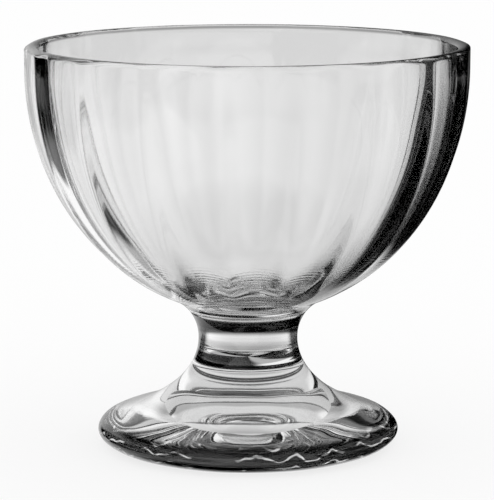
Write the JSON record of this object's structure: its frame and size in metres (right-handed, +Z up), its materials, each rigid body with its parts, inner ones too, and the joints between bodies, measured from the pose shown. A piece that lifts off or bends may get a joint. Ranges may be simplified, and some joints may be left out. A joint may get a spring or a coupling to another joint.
{
  "type": "dessert glass",
  "caption": "Clear pressed-glass dessert cup: a round bowl with broad outside flutes on a short waisted stem and a thick flared foot, for serving ice cream, fruit or pudding.",
  "frame": {"origin": "centre of the foot at the table", "axes": "+Z up along the glass's axis towards the rim; a flute is centred on -Y"},
  "size_m": [0.104, 0.1024, 0.095],
  "materials": {
    "clear_glass": "fire-polished, clear"
  },
  "bodies": {
    "root": {"bowl": "clear_glass", "stem": "clear_glass", "foot": "clear_glass"}
  },
  "joints": []
}
